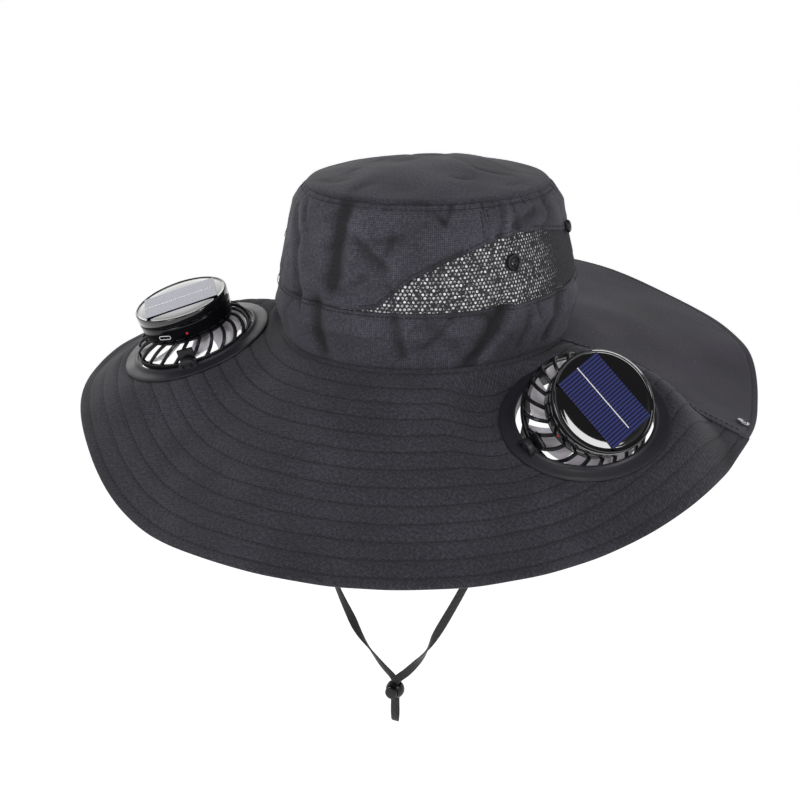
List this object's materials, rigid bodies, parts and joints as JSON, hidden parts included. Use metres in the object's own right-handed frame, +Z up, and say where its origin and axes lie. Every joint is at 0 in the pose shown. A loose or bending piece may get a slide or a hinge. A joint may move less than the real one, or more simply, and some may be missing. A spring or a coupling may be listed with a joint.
{
  "type": "sun hat with solar fans",
  "caption": "Wide-brim cloth sun hat with mesh side windows, a chin strap with sliding lock, and tilting solar fan units set in the brim.",
  "frame": {"origin": "centre of the head opening, in the plane where crown and brim are sewn together", "axes": "+Z up through the crown, the wearer faces -Y; left and right in the names are as seen from in front, so right is +X"},
  "size_m": [0.4323, 0.464, 0.3697],
  "materials": {
    "crown_cloth": "plain woven charcoal",
    "brim_cloth": "plain woven charcoal, quilted",
    "back_cloth": "plain woven charcoal",
    "net": "open net",
    "strap_ribbon": "woven ribbon",
    "satin_plastic": "satin",
    "gloss_black": "gloss",
    "fan_grey": "satin",
    "solar_cell": "clear coated cell",
    "steel": "polished",
    "led": "clear red"
  },
  "bodies": {
    "hat": {"crown_tip": "crown_cloth", "crown_band": "crown_cloth", "crown_wall_right": "crown_cloth", "crown_wall_left": "crown_cloth", "mesh_window_right": "net", "mesh_window_left": "net", "eyelet_right": "satin_plastic", "eyelet_left": "satin_plastic", "crown_snap_right": "satin_plastic", "crown_snap_left": "satin_plastic", "brim_front": "brim_cloth", "brim_back": "back_cloth", "brim_snap_right": "steel", "brim_snap_left": "steel", "fan_flange_left": "satin_plastic", "fan_flange_right": "satin_plastic", "chin_strap": "strap_ribbon", "cord_lock": "satin_plastic"},
    "head_left": {"fan_cage_left": "satin_plastic", "puck_housing_left": "gloss_black", "puck_cap_left": "gloss_black", "solar_cell_left": "solar_cell", "charge_port_left": "steel", "charge_light_left": "led"},
    "head_right": {"fan_cage_right": "satin_plastic", "puck_housing_right": "gloss_black", "puck_cap_right": "gloss_black", "solar_cell_right": "solar_cell", "charge_port_right": "steel", "charge_light_right": "led"},
    "rotor_left": {"fan_rotor_left": "fan_grey"},
    "rotor_right": {"fan_rotor_right": "fan_grey"},
    "lock_button": {"lock_button": "satin_plastic"}
  },
  "joints": [
    {"name": "head_tilt_left", "type": "hinge", "parent": "hat", "child": "head_left", "pos_m": [-0.13205, -0.06626, -0.01214], "axis": [0.4814, -0.8649, -0.1424], "range_deg": [-34, 38]},
    {"name": "head_tilt_right", "type": "hinge", "parent": "hat", "child": "head_right", "pos_m": [0.12973, -0.06323, -0.02002], "axis": [0.4933, 0.8254, 0.2746], "range_deg": [-69, 3]},
    {"name": "fan_spin_left", "type": "hinge", "parent": "head_left", "child": "rotor_left", "pos_m": [-0.13307, -0.06777, -0.00643], "axis": [-0.1695, -0.2513, 0.9529], "continuous": true},
    {"name": "fan_spin_right", "type": "hinge", "parent": "head_right", "child": "rotor_right", "pos_m": [0.13322, -0.06652, -0.0164], "axis": [0.5809, -0.5476, 0.6022], "continuous": true},
    {"name": "lock_press", "type": "slide", "parent": "hat", "child": "lock_button", "axis": [0, 1, 0], "range_m": [0, 0.0015], "stiffness_N_per_m": 300, "springref_m": -0.001}
  ]
}
